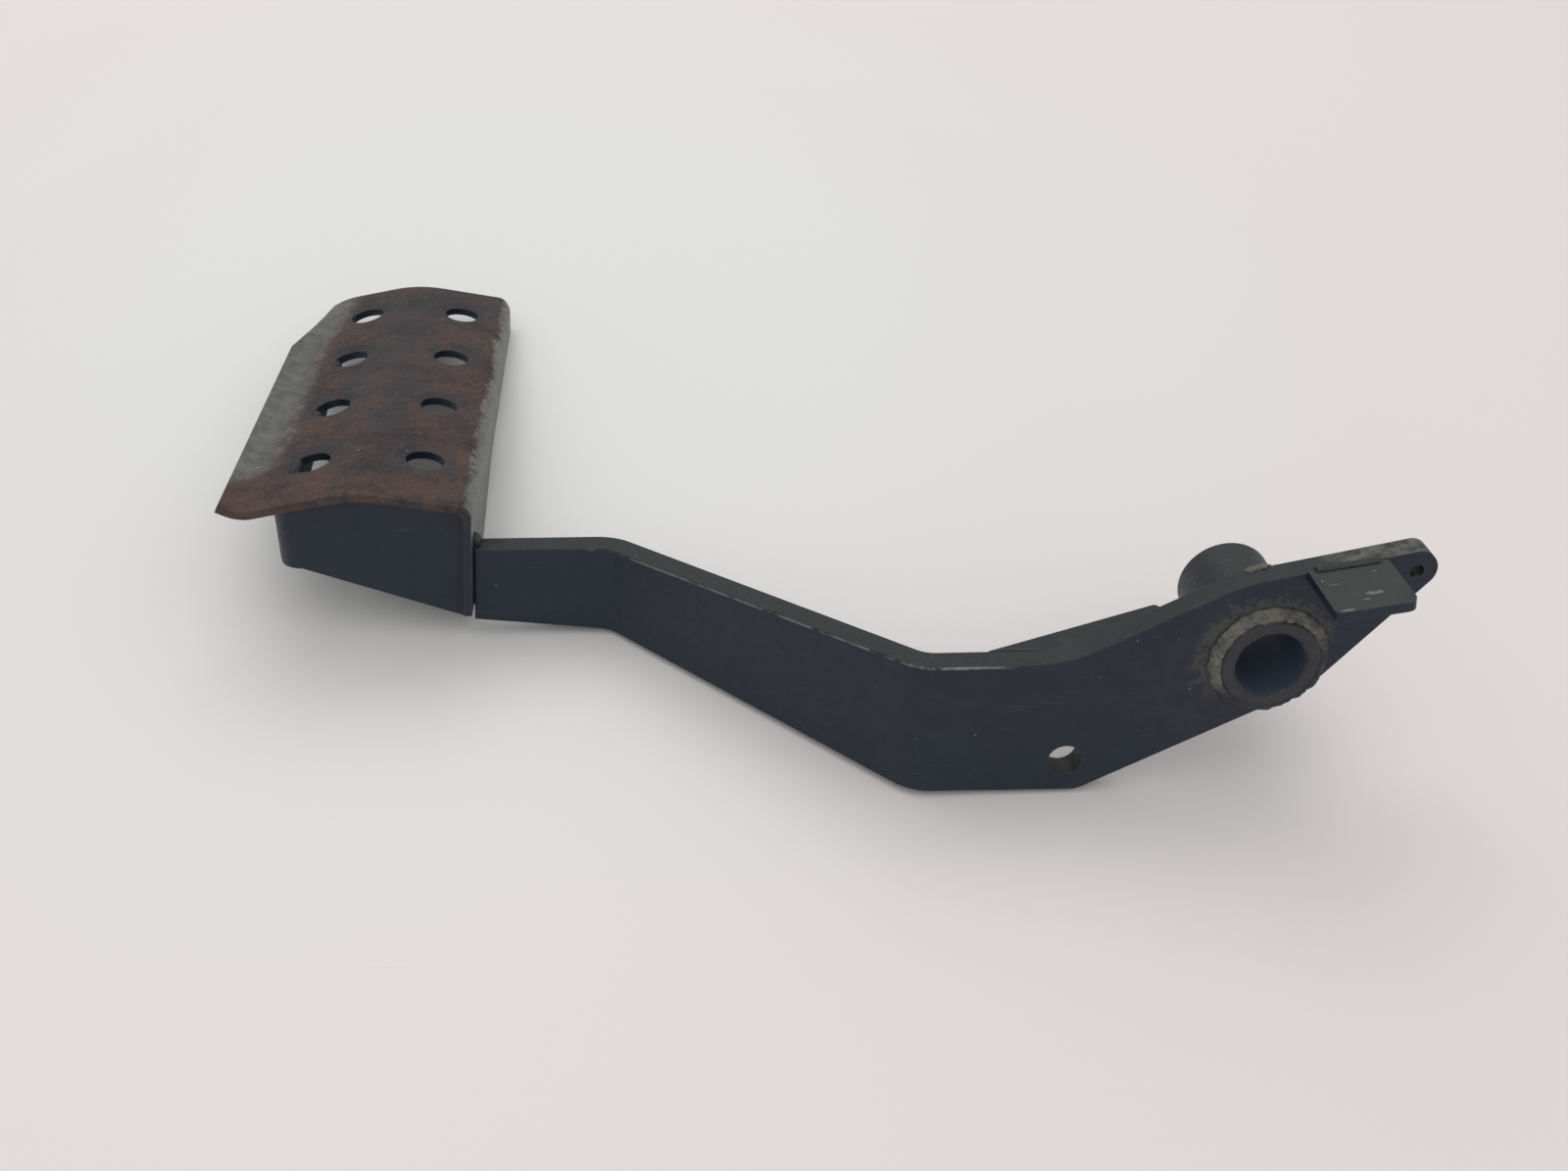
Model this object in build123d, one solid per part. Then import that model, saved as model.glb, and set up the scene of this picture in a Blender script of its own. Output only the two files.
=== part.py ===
from build123d import *
import math
import os

# Foot-operated brake pedal lever of a quad bike or motorcycle, a painted steel weldment.
# Millimetres, +Z up. The origin is the centre of the pivot bore. +Y runs along the bore from the
# outer face of the arm towards the machine, +X points from the foot pad to the rod end.

# --- driving dimensions ---------------------------------------------------------------------

edge_break = 0.4                 # rounding of sheared edges and chamfer of the tube's ends

# Pivot tube
tube_outer_diameter = 22.2
tube_bore_diameter = 15.9
tube_length = 35.5
tube_proud = 2.5                 # how far the tube stands out of the arm's outer face

# Arm: a plate cut to a long outline and bent twice
arm_thickness = 6.0
arm_face_y = -tube_length / 2 + tube_proud      # outer face of the straight end at the pivot
arm_jog = 54.5                   # how far the pad end is set back from the pivot end
bend_pad_x = -148.0              # outer crease of the bend nearer to the pad
bend_pivot_x = -78.2             # outer crease of the bend nearer to the pivot
arm_bend_radius = 7.5            # on the inside of each bend
arm_top_z = -0.4
arm_rise_start = (-45.5, arm_top_z)             # where the upper edge starts to climb
arm_hump = (-8.6, 19.3)          # above the tube
arm_throat = (10.8, -8.4)        # below the tube
arm_lowest = (-39.2, -35.7)      # beside the rod hole
arm_low_z_at_pivot_bend = -35.2
arm_low_z_at_pad_bend = -24.2
arm_low_z_at_end = -20.4
tip_top = (30.5, 27.7)           # where the two corners of the rod end would meet, unrounded
tip_side = (35.5, 22.8)
arm_flange_gap = 0.5             # between the arm's end and the pad's flange, filled by a weld

# Holes in the arm
rod_hole_diameter = 8.0
rod_hole_x = -42.9
rod_hole_z = -27.0
spring_hole_diameter = 3.2
spring_hole_x = 29.2
spring_hole_z = 22.3

# Foot pad: one stamped sheet with a crowned tread, an upturned wing and a turned-down flange
pad_sheet = 2.0
pad_front_y = arm_face_y + arm_jog - 2.5
pad_length = 134.3
wing_tip = (-238.6, 14.2)
wing_crease = (-234.0, 11.9)
crown_peak = (-207.3, 17.3)      # where the two slopes of the tread would meet
flange_crease = (-179.7, 12.4)
wing_crease_radius = 8.0
crown_radius = 38.0
flange_crease_radius = 4.0
flange_lean = 0.068              # how far the flange leans inwards, for each millimetre down
flange_front_z = -17.9           # its lower edge beside the arm
flange_step_start_y = pad_front_y + 25.0
flange_step_end = (pad_front_y + 61.0, -3.6)
flange_rear_z = 3.6
wing_cut_length = 39.7           # along Y, where the rear of the wing is cut off at an angle
wing_cut_width = 6.8
wing_cut_radius = 7.0
rear_corner_radius = 3.5

# Holes of the tread, each in a shallow dish pressed downwards
pad_hole_diameter = 9.6
pad_hole_columns = (-220.5, -193.1)
pad_hole_rows = 4
pad_hole_first_y = pad_front_y + 22.6
pad_hole_pitch = 31.8
dish_depth = 0.8
dish_width = 2.6                 # from the edge of the hole to the rim of the dish

# Bracket under the pad: a front panel whose left end is bent back into a leg
bracket_sheet = 3.0
bracket_left_x = -227.8
bracket_bend_radius = 3.0
leg_length = 83.5                # from the front of the panel to the rear end of the leg
panel_low_end = (-182.0, -19.9)  # the panel's lower edge at the flange
bend_low_z = -4.8                # and at the bend
leg_step_z = 0.0                 # the leg's lower edge just behind the bend
leg_low_end_z = 9.8

# Gusset between the back of the arm and the tube
gusset_thickness = 4.0
gusset_start_x = -62.0
gusset_end_x = -19.0
gusset_reach = 18.2              # how far its corner stands behind the arm's back face
gusset_corner_cut = 2.2

# Stop tab on the arm's upper edge
tab_thickness = 2.4
tab_width = 17.5
tab_reach = 17.0
tab_left_x = 4.8
tab_top_z = 22.7
tab_slope = 0.165
tab_corner_radii = (1.5, 2.2)

# Weld beads
ring_weld_front = (2.6, 2.0)     # leg on the arm, leg on the tube
ring_weld_back = (3.4, 3.2)
bead_radius = 1.9
light_bead_radius = 1.7
web_bead_radius = 2.4
short_bead_length = 9.0
gusset_bead_starts = (-54.0, -42.0, -30.0)
panel_bead_centres = (-213.0, -202.0, -191.0)
leg_bead_starts = (14.0, 42.0, 74.0)            # behind the front of the panel
weld_recess = 0.9                # of the joint's weld behind the arm's outer face

# --- values worked out from them --------------------------------------------------------------

tube_radius = tube_outer_diameter / 2
arm_back_y = arm_face_y + arm_thickness
arm_pad_face_y = arm_face_y + arm_jog
arm_pad_back_y = arm_pad_face_y + arm_thickness
pad_rear_y = pad_front_y + pad_length
panel_back_y = arm_pad_face_y + bracket_sheet
bend_start_x = bracket_left_x + bracket_bend_radius + bracket_sheet
bend_end_y = arm_pad_face_y + bracket_bend_radius + bracket_sheet
leg_end_y = arm_pad_face_y + leg_length
far = 400.0                      # longer than anything that is cut
beyond = 5.0                     # how far a cutter runs past the edge that it cuts
smallest_volume = 0.5            # cubic millimetres, below which a leftover is a sliver


# --- helpers ------------------------------------------------------------------------------------

def outline(corners_and_radii):
    """A closed flat face with the given corners, each rounded to its radius."""
    corners = [corner for corner, radius in corners_and_radii]
    radii = [radius for corner, radius in corners_and_radii]
    return make_face(FilletPolyline(*corners, radius=radii, close=True))


def plan_prism(face, z_low, z_high):
    """Extrude a face drawn in X and Y between two heights."""
    return Pos(0, 0, z_low) * extrude(face, amount=z_high - z_low)


def side_prism(face, y_low, y_high):
    """Extrude a face drawn in X and Z between two places along Y."""
    return Pos(0, y_high, 0) * extrude(Plane.XZ * face, amount=y_high - y_low)


def cross_prism(face, x_low, x_high):
    """Extrude a face drawn in Y and Z between two places along X."""
    return Pos(x_low, 0, 0) * extrude(Plane.YZ * face, amount=x_high - x_low)


def heading(start, end):
    """Direction from one flat point to another, in radians."""
    return math.atan2(end[1] - start[1], end[0] - start[0])


def turns_left(before, corner, after):
    """Whether a flat path turns left at its corner."""
    return math.sin(heading(corner, after) - heading(before, corner)) > 0


def offset_path(points, distance):
    """Shift an open run of straight lines to its left by a distance, keeping the corners sharp."""
    shifted = []
    for index, (x, y) in enumerate(points):
        before = points[index - 1] if index > 0 else None
        after = points[index + 1] if index + 1 < len(points) else None
        arriving = heading(before, (x, y)) if before else heading((x, y), after)
        leaving = heading((x, y), after) if after else arriving
        half_turn = (leaving - arriving) / 2
        reach = distance / math.cos(half_turn)
        normal = arriving + half_turn + math.pi / 2
        shifted.append((x + reach * math.cos(normal), y + reach * math.sin(normal)))
    return shifted


def bent_strip(points, inner_radii, thickness, side):
    """A bent sheet seen on edge. The points are one of its faces, the other lies to the left of
    the path for side 1 and to the right for side -1. The radii are on the inside of each bend."""
    near_radii = []
    far_radii = []
    for index, inner in enumerate(inner_radii):
        left = turns_left(*points[index:index + 3])
        far_is_inside = left == (side == 1)
        near_radii.append(inner + thickness if far_is_inside else inner)
        far_radii.append(inner if far_is_inside else inner + thickness)
    corners = list(points) + offset_path(points, side * thickness)[::-1]
    radii = [0] + near_radii + [0, 0] + far_radii[::-1] + [0]
    return outline(list(zip(corners, radii)))


def bead(start, end, radius=bead_radius):
    """A straight weld bead as a round bar; what lies inside its neighbours is cut away later."""
    run = Vector(*end) - Vector(*start)
    return Plane(origin=start, z_dir=run) * Cylinder(
        radius, run.length, align=(Align.CENTER, Align.CENTER, Align.MIN))


def without(shape, *others):
    """The shape with its neighbours cut out, as a plain list of solids, less any sliver."""
    for other in others:
        shape = shape - other
    return [solid for solid in shape.solids() if solid.volume > smallest_volume]


# --- the arm ----------------------------------------------------------------------------------------

def flange_outer_x(z):
    """Where the outer face of the pad's leaning flange is, at a height."""
    return flange_crease[0] - flange_lean * (flange_crease[1] - z)


def arm_end_x(z):
    """The arm's end follows the flange."""
    return flange_outer_x(z) + arm_flange_gap


def arm_profile_prism():
    """The arm seen from its outer side, in X and Z, drawn through along Y."""
    return side_prism(outline([
        ((arm_end_x(arm_top_z), arm_top_z), 0),
        (arm_rise_start, 30.0),
        (arm_hump, 25.0),
        (tip_top, 3.6),
        (tip_side, 4.6),
        (arm_throat, 25.0),
        (arm_lowest, 8.0),
        ((bend_pivot_x, arm_low_z_at_pivot_bend), 80.0),
        ((bend_pad_x, arm_low_z_at_pad_bend), 60.0),
        ((arm_end_x(arm_low_z_at_end), arm_low_z_at_end), 0),
    ]), -far, far)


def make_lever_arm():
    """Plate bent to a jog, so that the pad end sits further back than the pivot end."""
    face_path = [
        (flange_outer_x(arm_low_z_at_end) - beyond, arm_pad_face_y),
        (bend_pad_x, arm_pad_face_y),
        (bend_pivot_x, arm_face_y),
        (tip_side[0] + beyond, arm_face_y),
    ]
    strip = bent_strip(face_path, [arm_bend_radius, arm_bend_radius], arm_thickness, 1)
    plate = plan_prism(strip, -far, far) & arm_profile_prism()
    bend_seams = plate.edges().filter_by(Axis.Z)
    shortest_run = 15.0
    sheared = [edge for edge in plate.edges() if edge.length > shortest_run]
    plate = fillet([edge for edge in sheared if edge not in bend_seams], edge_break)
    plate -= drilled(tube_outer_diameter, 0, 0)
    plate -= drilled(rod_hole_diameter, rod_hole_x, rod_hole_z)
    plate -= drilled(spring_hole_diameter, spring_hole_x, spring_hole_z)
    return plate.solids()


def drilled(diameter, x, z):
    """A cutter along Y."""
    return Pos(x, 0, z) * Rot(90, 0, 0) * Cylinder(diameter / 2, far)


def make_pivot_tube():
    tube = Cylinder(tube_radius, tube_length) - Cylinder(tube_bore_diameter / 2, tube_length)
    tube = chamfer(tube.edges().filter_by(GeomType.CIRCLE), edge_break)
    return (Rot(90, 0, 0) * tube).solids()


# --- the foot pad -----------------------------------------------------------------------------------

def pad_section_path():
    return [
        wing_tip,
        wing_crease,
        crown_peak,
        flange_crease,
        (flange_outer_x(flange_front_z), flange_front_z),
    ]


def pad_section():
    """The stamped sheet seen from the front."""
    radii = [wing_crease_radius, crown_radius - pad_sheet, flange_crease_radius - pad_sheet]
    return bent_strip(pad_section_path(), radii, pad_sheet, -1)


def crown_centre():
    """Centre of the arc that joins the two slopes of the tread."""
    rise = heading(wing_crease, crown_peak)
    fall = heading(crown_peak, flange_crease)
    lean = (rise + fall) / 2
    reach = crown_radius / math.cos((rise - fall) / 2)
    return (crown_peak[0] + reach * math.sin(lean), crown_peak[1] - reach * math.cos(lean))


def pad_lean(x):
    """Angle of the tread at a place across it, in radians, rising with X where positive."""
    across = (crown_centre()[0] - x) / (crown_radius - pad_sheet)
    on_arc = math.asin(max(-1.0, min(1.0, across)))
    return max(heading(crown_peak, flange_crease), min(heading(wing_crease, crown_peak), on_arc))


def pad_underside_z(x):
    """Height of the pad's lower face under the tread: an arc with a flat on each side."""
    centre_x, centre_z = crown_centre()
    inner_radius = crown_radius - pad_sheet
    lean = pad_lean(x)
    leaves_arc_x = centre_x - inner_radius * math.sin(lean)
    return centre_z + inner_radius * math.cos(lean) + (x - leaves_arc_x) * math.tan(lean)


def space_under_pad():
    """Everything below the pad's underside and left of its flange."""
    under = offset_path(pad_section_path(), -pad_sheet)
    radii = [0, wing_crease_radius + pad_sheet, crown_radius - pad_sheet,
             flange_crease_radius - pad_sheet, 0]
    below = [((under[-1][0], -far), 0), ((under[0][0], -far), 0)]
    return side_prism(outline(list(zip(under, radii)) + below), pad_front_y, pad_rear_y)


def pad_plan_prism():
    """The pad from above: the rear of the wing is cut off at an angle."""
    left = wing_tip[0] - beyond
    cut_start_y = pad_rear_y - wing_cut_length * (1 + beyond / wing_cut_width)
    return plan_prism(outline([
        ((left, pad_front_y - beyond), 0),
        ((flange_crease[0], pad_front_y - beyond), 0),
        ((flange_crease[0], pad_rear_y), rear_corner_radius),
        ((wing_tip[0] + wing_cut_width, pad_rear_y), wing_cut_radius),
        ((left, cut_start_y), 0),
    ]), -far, far)


def flange_cutter():
    """Takes the lower edge of the flange up in a long step, from the arm towards the rear."""
    low = flange_front_z - beyond
    return cross_prism(outline([
        ((pad_front_y - beyond, low), 0),
        ((pad_front_y - beyond, flange_front_z), 0),
        ((flange_step_start_y, flange_front_z), 25.0),
        (flange_step_end, 40.0),
        ((pad_rear_y + beyond, flange_rear_z), 0),
        ((pad_rear_y + beyond, low), 0),
    ]), flange_outer_x(flange_front_z) - beyond, flange_crease[0] + beyond)


def make_foot_pad():
    pad = side_prism(pad_section(), pad_front_y, pad_rear_y) & pad_plan_prism()
    pad -= flange_cutter()
    for x in pad_hole_columns:
        for row in range(pad_hole_rows):
            pad = press_hole(pad, x, pad_hole_first_y + row * pad_hole_pitch)
    return pad.solids()


def press_hole(pad, x, y):
    """Press a shallow dish down into the tread and punch a round hole in its middle."""
    hole_radius = pad_hole_diameter / 2
    slope = dish_width / dish_depth
    above = 3.0
    overlap = 0.3
    wall = 0.9
    boss_radius = hole_radius + dish_width + wall
    place = Pos(x, y, pad_underside_z(x)) * Rot(0, -math.degrees(pad_lean(x)), 0)
    upwards = (Align.CENTER, Align.CENTER, Align.MIN)
    boss = Cone(boss_radius - dish_width, boss_radius + slope * overlap,
                dish_depth + overlap, align=upwards)
    dish = Cone(hole_radius, hole_radius + slope * above, above, align=upwards)
    punch = Cylinder(hole_radius, far)
    pad += place * Pos(0, 0, -dish_depth) * boss
    pad -= place * Pos(0, 0, pad_sheet - dish_depth) * dish
    return pad - place * punch


# --- the bracket under the pad ----------------------------------------------------------------------

def make_pad_bracket(pad):
    """Front panel and left leg, bent from one sheet and fitted to the pad's underside."""
    outer_path = [
        (flange_crease[0], arm_pad_face_y),
        (bracket_left_x, arm_pad_face_y),
        (bracket_left_x, leg_end_y),
    ]
    strip = bent_strip(outer_path, [bracket_bend_radius], bracket_sheet, -1)
    bracket = plan_prism(strip, -far, far) & space_under_pad()
    bracket -= panel_lower_cutter()
    bracket -= leg_lower_cutter()
    return without(bracket, *pad)


def panel_lower_cutter():
    """The panel's lower edge rises from the flange to the bend."""
    return side_prism(outline([
        ((bend_start_x, bend_low_z), 0),
        (panel_low_end, 0),
        ((panel_low_end[0], -far), 0),
        ((bend_start_x, -far), 0),
    ]), -far, far)


def leg_lower_cutter():
    """The leg's lower edge rises quickly behind the bend, then gently to its rear end."""
    step_length = 4.5
    return cross_prism(outline([
        ((arm_pad_face_y - beyond, bend_low_z), 0),
        ((panel_back_y, bend_low_z), 4.0),
        ((bend_end_y + step_length, leg_step_z), 6.0),
        ((leg_end_y, leg_low_end_z), 0),
        ((leg_end_y, -far), 0),
        ((arm_pad_face_y - beyond, -far), 0),
    ]), bracket_left_x - beyond, bend_start_x)


# --- gusset and stop tab ----------------------------------------------------------------------------

def make_gusset():
    """Flat triangular web, level with the arm's upper edge, that braces the tube."""
    corner_y = arm_back_y + gusset_reach
    chamfer_y = corner_y - gusset_corner_cut
    web = outline([
        ((gusset_start_x, arm_back_y), 0),
        ((0, arm_back_y), 0),
        ((0, chamfer_y), 0),
        ((gusset_end_x + 1.6, chamfer_y), 1.0),
        ((gusset_end_x, corner_y), 1.0),
    ])
    return without(plan_prism(web, arm_top_z - gusset_thickness, arm_top_z), tube_body())


def tube_body():
    return Rot(90, 0, 0) * Cylinder(tube_radius, far)


def make_stop_tab():
    """Flat tab that stands forward from the arm's upper edge and meets the frame's stop."""
    left_radius, right_radius = tab_corner_radii
    flat = plan_prism(outline([
        ((0, arm_face_y), 0),
        ((0, arm_face_y - tab_reach), left_radius),
        ((tab_width, arm_face_y - tab_reach), right_radius),
        ((tab_width, arm_face_y), 0),
    ]), -tab_thickness, 0)
    tilt = math.degrees(math.atan(tab_slope))
    return (Pos(tab_left_x, 0, tab_top_z) * Rot(0, -tilt, 0) * flat).solids()


# --- weld beads -------------------------------------------------------------------------------------

def ring_weld(face_y, legs, direction):
    """A fillet weld all round the tube, on a face of the arm."""
    leg_on_arm, leg_on_tube = legs
    fullness = 0.62                  # of a bulging bead's face, 0.5 being a flat one
    outer = tube_radius + leg_on_arm
    end_y = face_y + direction * leg_on_tube
    bulge = (tube_radius + fullness * leg_on_arm, face_y + direction * fullness * leg_on_tube)
    with BuildPart() as ring:
        with BuildSketch(Plane.XY):
            with BuildLine():
                Line((tube_radius, end_y), (tube_radius, face_y))
                Line((tube_radius, face_y), (outer, face_y))
                ThreePointArc((outer, face_y), bulge, (tube_radius, end_y))
            make_face()
        revolve(axis=Axis.Y)
    return ring.part


def make_pivot_weld_front():
    return (ring_weld(arm_face_y, ring_weld_front, -1) & arm_profile_prism()).solids()


def make_pivot_weld_back(gusset):
    ring = ring_weld(arm_back_y, ring_weld_back, 1) & arm_profile_prism()
    return without(ring, *gusset)


def make_gusset_tube_weld(gusset, ring):
    """A bead on each side of the web, where it meets the tube."""
    start_y = arm_back_y + ring_weld_back[1]
    end_y = arm_back_y + gusset_reach
    solids = []
    for z in (arm_top_z, arm_top_z - gusset_thickness):
        x = -math.sqrt(tube_radius ** 2 - z ** 2)
        bar = bead((x, start_y, z), (x, end_y, z), web_bead_radius)
        solids += without(bar, tube_body(), *gusset, *ring)
    return solids


def make_gusset_arm_weld(arm, gusset):
    """Three short beads under the web, along the back of the arm."""
    z = arm_top_z - gusset_thickness
    solids = []
    for start_x in gusset_bead_starts:
        bar = bead((start_x, arm_back_y, z), (start_x + short_bead_length, arm_back_y, z))
        solids += without(bar, *arm, *gusset)
    return solids


def make_stop_tab_weld(arm, tab):
    """One bead along the top of the joint between the tab and the arm."""
    inset = 1.5
    depth = 0.7
    ends = []
    for along in (inset, tab_width - inset):
        ends.append((tab_left_x + along, arm_face_y, tab_top_z - depth + tab_slope * along))
    return without(bead(*ends, light_bead_radius), *arm, *tab)


def make_arm_pad_weld(arm, pad):
    """Fills the joint between the arm's end and the flange, with a bead on its back and top."""
    low = flange_front_z + 1.0
    back_low = low + 4.0
    joint_x = flange_outer_x(arm_top_z)
    root = side_prism(outline([
        ((flange_outer_x(low), low), 0),
        ((arm_end_x(low), low), 0),
        ((arm_end_x(arm_top_z), arm_top_z), 0),
        ((joint_x, arm_top_z), 0),
    ]), arm_pad_face_y + weld_recess, arm_pad_back_y)
    back = bead((flange_outer_x(back_low), arm_pad_back_y, back_low),
                (joint_x, arm_pad_back_y, arm_top_z))
    top = bead((joint_x, arm_pad_face_y + 1.5, arm_top_z),
               (joint_x, arm_pad_back_y, arm_top_z))
    return without(root + back + top, *arm, *pad)


def make_bracket_flange_weld(pad, bracket):
    """A bead in the inside corner between the panel and the flange."""
    ends = []
    for z in (-14.0, 4.0):
        ends.append((flange_outer_x(z) - pad_sheet, panel_back_y, z))
    return without(bead(*ends), *pad, *bracket)


def make_panel_pad_weld(pad, bracket):
    """Three short beads between the back of the panel and the underside of the tread."""
    half = short_bead_length / 2
    solids = []
    for x in panel_bead_centres:
        rise = half * math.tan(pad_lean(x))
        z = pad_underside_z(x)
        bar = bead((x - half, panel_back_y, z - rise), (x + half, panel_back_y, z + rise),
                   light_bead_radius)
        solids += without(bar, *pad, *bracket)
    return solids


def make_leg_pad_weld(pad, bracket):
    """Three short beads between the inside of the leg and the underside of the tread."""
    x = bracket_left_x + bracket_sheet
    z = pad_underside_z(x)
    solids = []
    for start in leg_bead_starts:
        start_y = arm_pad_face_y + start
        bar = bead((x, start_y, z), (x, start_y + short_bead_length, z), light_bead_radius)
        solids += without(bar, *pad, *bracket)
    return solids


# --- assembly and export ------------------------------------------------------------------------------

lever_arm = make_lever_arm()
foot_pad = make_foot_pad()
pad_bracket = make_pad_bracket(foot_pad)
gusset = make_gusset()
stop_tab = make_stop_tab()
pivot_weld_back = make_pivot_weld_back(gusset)

nodes = {
    "lever_arm": lever_arm,
    "foot_pad": foot_pad,
    "pad_bracket": pad_bracket,
    "pivot_tube": make_pivot_tube(),
    "gusset": gusset,
    "stop_tab": stop_tab,
    "pivot_weld_front": make_pivot_weld_front(),
    "pivot_weld_back": pivot_weld_back,
    "gusset_tube_weld": make_gusset_tube_weld(gusset, pivot_weld_back),
    "gusset_arm_weld": make_gusset_arm_weld(lever_arm, gusset),
    "stop_tab_weld": make_stop_tab_weld(lever_arm, stop_tab),
    "arm_pad_weld": make_arm_pad_weld(lever_arm, foot_pad),
    "bracket_flange_weld": make_bracket_flange_weld(foot_pad, pad_bracket),
    "panel_pad_weld": make_panel_pad_weld(foot_pad, pad_bracket),
    "leg_pad_weld": make_leg_pad_weld(foot_pad, pad_bracket),
}

os.makedirs("parts", exist_ok=True)
for name, solids in nodes.items():
    shape = solids[0] if len(solids) == 1 else Compound(children=list(solids))
    export_step(shape, f"parts/{name}.step")
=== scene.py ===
"""Foot brake pedal lever on a pale table: camera, light, materials and weld beads around the CAD frame."""
import math

import bmesh
import bpy
from mathutils import Matrix, Vector, noise


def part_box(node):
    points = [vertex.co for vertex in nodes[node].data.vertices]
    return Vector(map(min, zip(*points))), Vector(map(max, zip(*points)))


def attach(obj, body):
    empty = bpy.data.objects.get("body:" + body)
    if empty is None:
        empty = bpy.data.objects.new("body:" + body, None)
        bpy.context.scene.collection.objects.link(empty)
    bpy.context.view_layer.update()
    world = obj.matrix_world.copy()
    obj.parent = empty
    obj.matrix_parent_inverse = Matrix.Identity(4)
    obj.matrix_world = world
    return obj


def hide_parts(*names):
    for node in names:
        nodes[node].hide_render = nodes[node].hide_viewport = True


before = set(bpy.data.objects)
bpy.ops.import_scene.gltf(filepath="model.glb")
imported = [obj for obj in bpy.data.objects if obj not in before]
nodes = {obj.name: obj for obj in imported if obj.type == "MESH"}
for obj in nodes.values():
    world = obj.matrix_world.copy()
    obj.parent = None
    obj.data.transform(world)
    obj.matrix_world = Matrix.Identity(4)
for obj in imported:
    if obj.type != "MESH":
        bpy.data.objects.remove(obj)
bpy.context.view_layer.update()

MM = 0.001
SHEEN_LEVEL = 0.38            # of the paint, rust and table

# --- places taken from the frame ----------------------------------------------------------------

ARM_LOW, ARM_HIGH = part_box("lever_arm")
PAD_LOW, PAD_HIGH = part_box("foot_pad")
TUBE_LOW, TUBE_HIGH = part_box("pivot_tube")
TAB_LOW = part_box("stop_tab")[0]
GUSSET_LOW, GUSSET_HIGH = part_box("gusset")
TUBE_RADIUS = (TUBE_HIGH.x - TUBE_LOW.x) / 2
ARM_TOP_Z = GUSSET_HIGH.z
WELD_EDGE_SHADE_MIDDLE_X = ARM_LOW.x / MM + 5.3    # a painted shade line where the weld bead's edge meets the end of the arm's upper edge
WELD_EDGE_SHADE_Y = ARM_HIGH.y / MM - 2.5
PAD_LEFT = PAD_LOW.x / MM
PAD_RIGHT = PAD_HIGH.x / MM
PAD_FRONT = PAD_LOW.y / MM
PAD_REAR = PAD_HIGH.y / MM
HOLE_ROWS_X = (-220.5, -193.1)           # the tread's two rows of holes, in millimetres
FIRST_HOLE = 22.6                        # behind the tread's front edge
HOLE_PITCH = 31.8
ARM_RISE = math.radians(-20.0)           # slope of the arm's upper edge beside the tube

# --- weld beads and crumbs, in millimetres ------------------------------------------------------

WELD_VOXEL = 0.36
CRUMBS = (                               # place along X, distance before the arm's back, radii
    (-5.6, 0.5, (1.5, 1.0, 0.7)),
    (-3.4, 0.2, (2.1, 1.1, 0.8)),
    (-0.9, 0.5, (1.5, 0.9, 0.6)),
    (19.8, 0.6, (1.0, 0.8, 0.55)),
    (17.4, 0.4, (1.6, 0.8, 0.3)),
    (24.6, 0.5, (1.9, 0.9, 0.3)),
)

# --- light levels -----------------------------------------------------------------------------

HORIZON_LIGHT = 0.25
ZENITH_LIGHT = 0.86
FRONT_LIGHT = 0.45               # more from behind the camera
LAMP_POWER = 5.0

# --- camera -----------------------------------------------------------------------------------

SENSOR_WIDTH = 36.0
FOCAL_LENGTH = 36.99
CAMERA_PLACE = Vector((-134.54, -304.36, 199.58)) * MM
CAMERA_YAW = math.radians(5.07)          # the camera looks a little to the right of +Y
CAMERA_PITCH = math.radians(31.53)       # and down
CAMERA_ROLL = math.radians(1.645)


def make_camera():
    forward = Vector((math.sin(CAMERA_YAW) * math.cos(CAMERA_PITCH),
                      math.cos(CAMERA_YAW) * math.cos(CAMERA_PITCH),
                      -math.sin(CAMERA_PITCH)))
    level_right = Vector((math.cos(CAMERA_YAW), -math.sin(CAMERA_YAW), 0))
    level_up = level_right.cross(forward)
    right = level_right * math.cos(CAMERA_ROLL) + level_up * math.sin(CAMERA_ROLL)
    up = level_up * math.cos(CAMERA_ROLL) - level_right * math.sin(CAMERA_ROLL)
    data = bpy.data.cameras.new("camera")
    data.sensor_width = SENSOR_WIDTH
    data.lens = FOCAL_LENGTH
    data.clip_start = 0.01
    data.clip_end = 20.0
    camera = bpy.data.objects.new("camera", data)
    rotation = Matrix((right, up, -forward)).transposed().to_4x4()
    camera.matrix_world = Matrix.Translation(CAMERA_PLACE) @ rotation
    bpy.context.collection.objects.link(camera)
    bpy.context.scene.camera = camera


# --- material kit -------------------------------------------------------------------------------

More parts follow.
